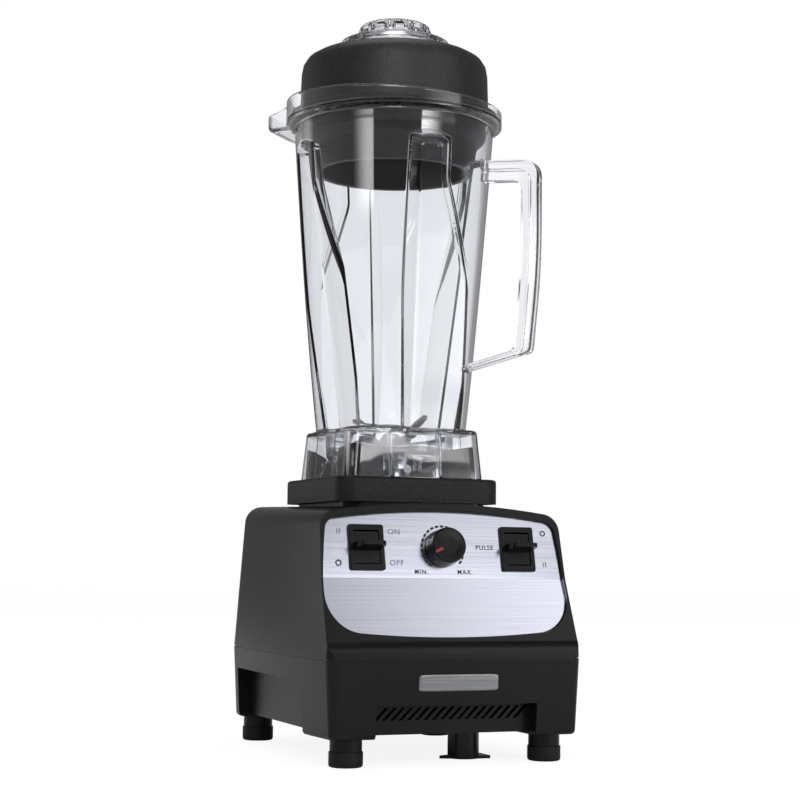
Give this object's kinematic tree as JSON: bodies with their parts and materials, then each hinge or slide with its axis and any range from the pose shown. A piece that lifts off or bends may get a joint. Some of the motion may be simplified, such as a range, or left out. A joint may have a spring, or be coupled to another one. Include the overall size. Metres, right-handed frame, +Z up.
{
  "type": "countertop blender",
  "caption": "Countertop blender: tall clear square-round jar with slanted baffles, corner handle and spout, on a black motor base with a leaning metal control panel.",
  "frame": {"origin": "centre of the base's footprint on the counter", "axes": "+Z up along the drive shaft, control panel at -Y, +X to the right seen from the front"},
  "size_m": [0.1814, 0.2162, 0.5101],
  "materials": {
    "moulded_abs": "satin",
    "brushed_aluminium": "brushed",
    "switch_nylon": "satin",
    "moulded_rubber": "textured",
    "clear_polycarbonate": "clear",
    "stainless_steel": "ground",
    "zinc_plated_steel": "plated",
    "die_cast_aluminium": "as cast",
    "laminated_steel": "varnished",
    "enamelled_copper": "enamelled wire",
    "commutator_copper": "turned",
    "carbon": "matt",
    "board_laminate": "satin",
    "reset_red": "gloss"
  },
  "bodies": {
    "base": {"base_tray": "moulded_abs", "brush_holders": "commutator_copper", "carbon_brushes": "carbon", "centering_pad": "moulded_rubber", "control_board": "board_laminate", "control_panel": "brushed_aluminium", "cord_cleat": "moulded_abs", "cord_gland": "moulded_abs", "field_coils": "enamelled_copper", "foot_pads": "moulded_rubber", "foot_screws": "zinc_plated_steel", "foot_stems": "moulded_abs", "locating_posts": "moulded_abs", "lower_bearing": "zinc_plated_steel", "lower_bracket": "die_cast_aluminium", "motor_bolts": "zinc_plated_steel", "motor_housing": "moulded_abs", "motor_isolators": "moulded_rubber", "motor_screws": "zinc_plated_steel", "motor_stator": "laminated_steel", "potentiometer_nut": "zinc_plated_steel", "power_switch": "switch_nylon", "pulse_switch": "switch_nylon", "reed_switch": "moulded_abs", "reset_switch": "moulded_abs", "speed_potentiometer": "zinc_plated_steel", "switch_pins": "zinc_plated_steel", "upper_bearing": "zinc_plated_steel", "upper_bracket": "die_cast_aluminium"},
    "rotor": {"motor_shaft": "zinc_plated_steel", "armature_core": "laminated_steel", "armature_winding": "enamelled_copper", "commutator": "commutator_copper", "cooling_fan": "moulded_abs", "drive_socket": "stainless_steel"},
    "jar": {"jar": "clear_polycarbonate", "bearing_housing": "stainless_steel", "jar_gasket": "moulded_rubber", "retainer_nut": "stainless_steel", "blade_bearings": "zinc_plated_steel", "shaft_seal": "moulded_rubber", "jar_magnet": "zinc_plated_steel"},
    "blades": {"blade_shaft": "stainless_steel", "lower_blade": "stainless_steel", "upper_blade": "stainless_steel", "blade_cap_nut": "stainless_steel"},
    "lid": {"lid": "moulded_rubber"},
    "plug": {"lid_plug": "clear_polycarbonate"},
    "power_paddle": {"power_paddle": "switch_nylon"},
    "pulse_paddle": {"pulse_paddle": "switch_nylon"},
    "knob": {"speed_knob": "switch_nylon", "speed_spindle": "zinc_plated_steel"},
    "reset_button": {"reset_button": "reset_red"}
  },
  "joints": [
    {"name": "motor_spin", "type": "hinge", "parent": "base", "child": "rotor", "pos_m": [0, 0.0139, 0.1], "axis": [0, 0, 1], "continuous": true},
    {"name": "jar_lift", "type": "slide", "parent": "base", "child": "jar", "axis": [0, 0, 1], "range_m": [0, 0.12]},
    {"name": "blade_spin", "type": "hinge", "parent": "jar", "child": "blades", "pos_m": [0, 0.0139, 0.2], "axis": [0, 0, 1], "continuous": true},
    {"name": "lid_lift", "type": "slide", "parent": "jar", "child": "lid", "axis": [0, 0, 1], "range_m": [0, 0.09]},
    {"name": "plug_lift", "type": "slide", "parent": "lid", "child": "plug", "axis": [0, 0, 1], "range_m": [0, 0.06]},
    {"name": "power_toggle", "type": "hinge", "parent": "base", "child": "power_paddle", "pos_m": [-0.0535, -0.07788, 0.13657], "axis": [-1, 0, 0], "range_deg": [0, 24]},
    {"name": "pulse_toggle", "type": "hinge", "parent": "base", "child": "pulse_paddle", "pos_m": [0.0535, -0.07788, 0.13657], "axis": [1, 0, 0], "range_deg": [0, 20], "stiffness_Nm_per_rad": 0.05},
    {"name": "speed_turn", "type": "hinge", "parent": "base", "child": "knob", "pos_m": [0, -0.07984, 0.137], "axis": [0, 0.9767, -0.2147], "range_deg": [-30, 250]},
    {"name": "reset_press", "type": "slide", "parent": "base", "child": "reset_button", "axis": [0, 0, 1], "range_m": [0, 0.003], "stiffness_N_per_m": 400}
  ],
  "couplings": [
    {"joint": "blade_spin", "follows": "motor_spin", "ratio": 1}
  ]
}
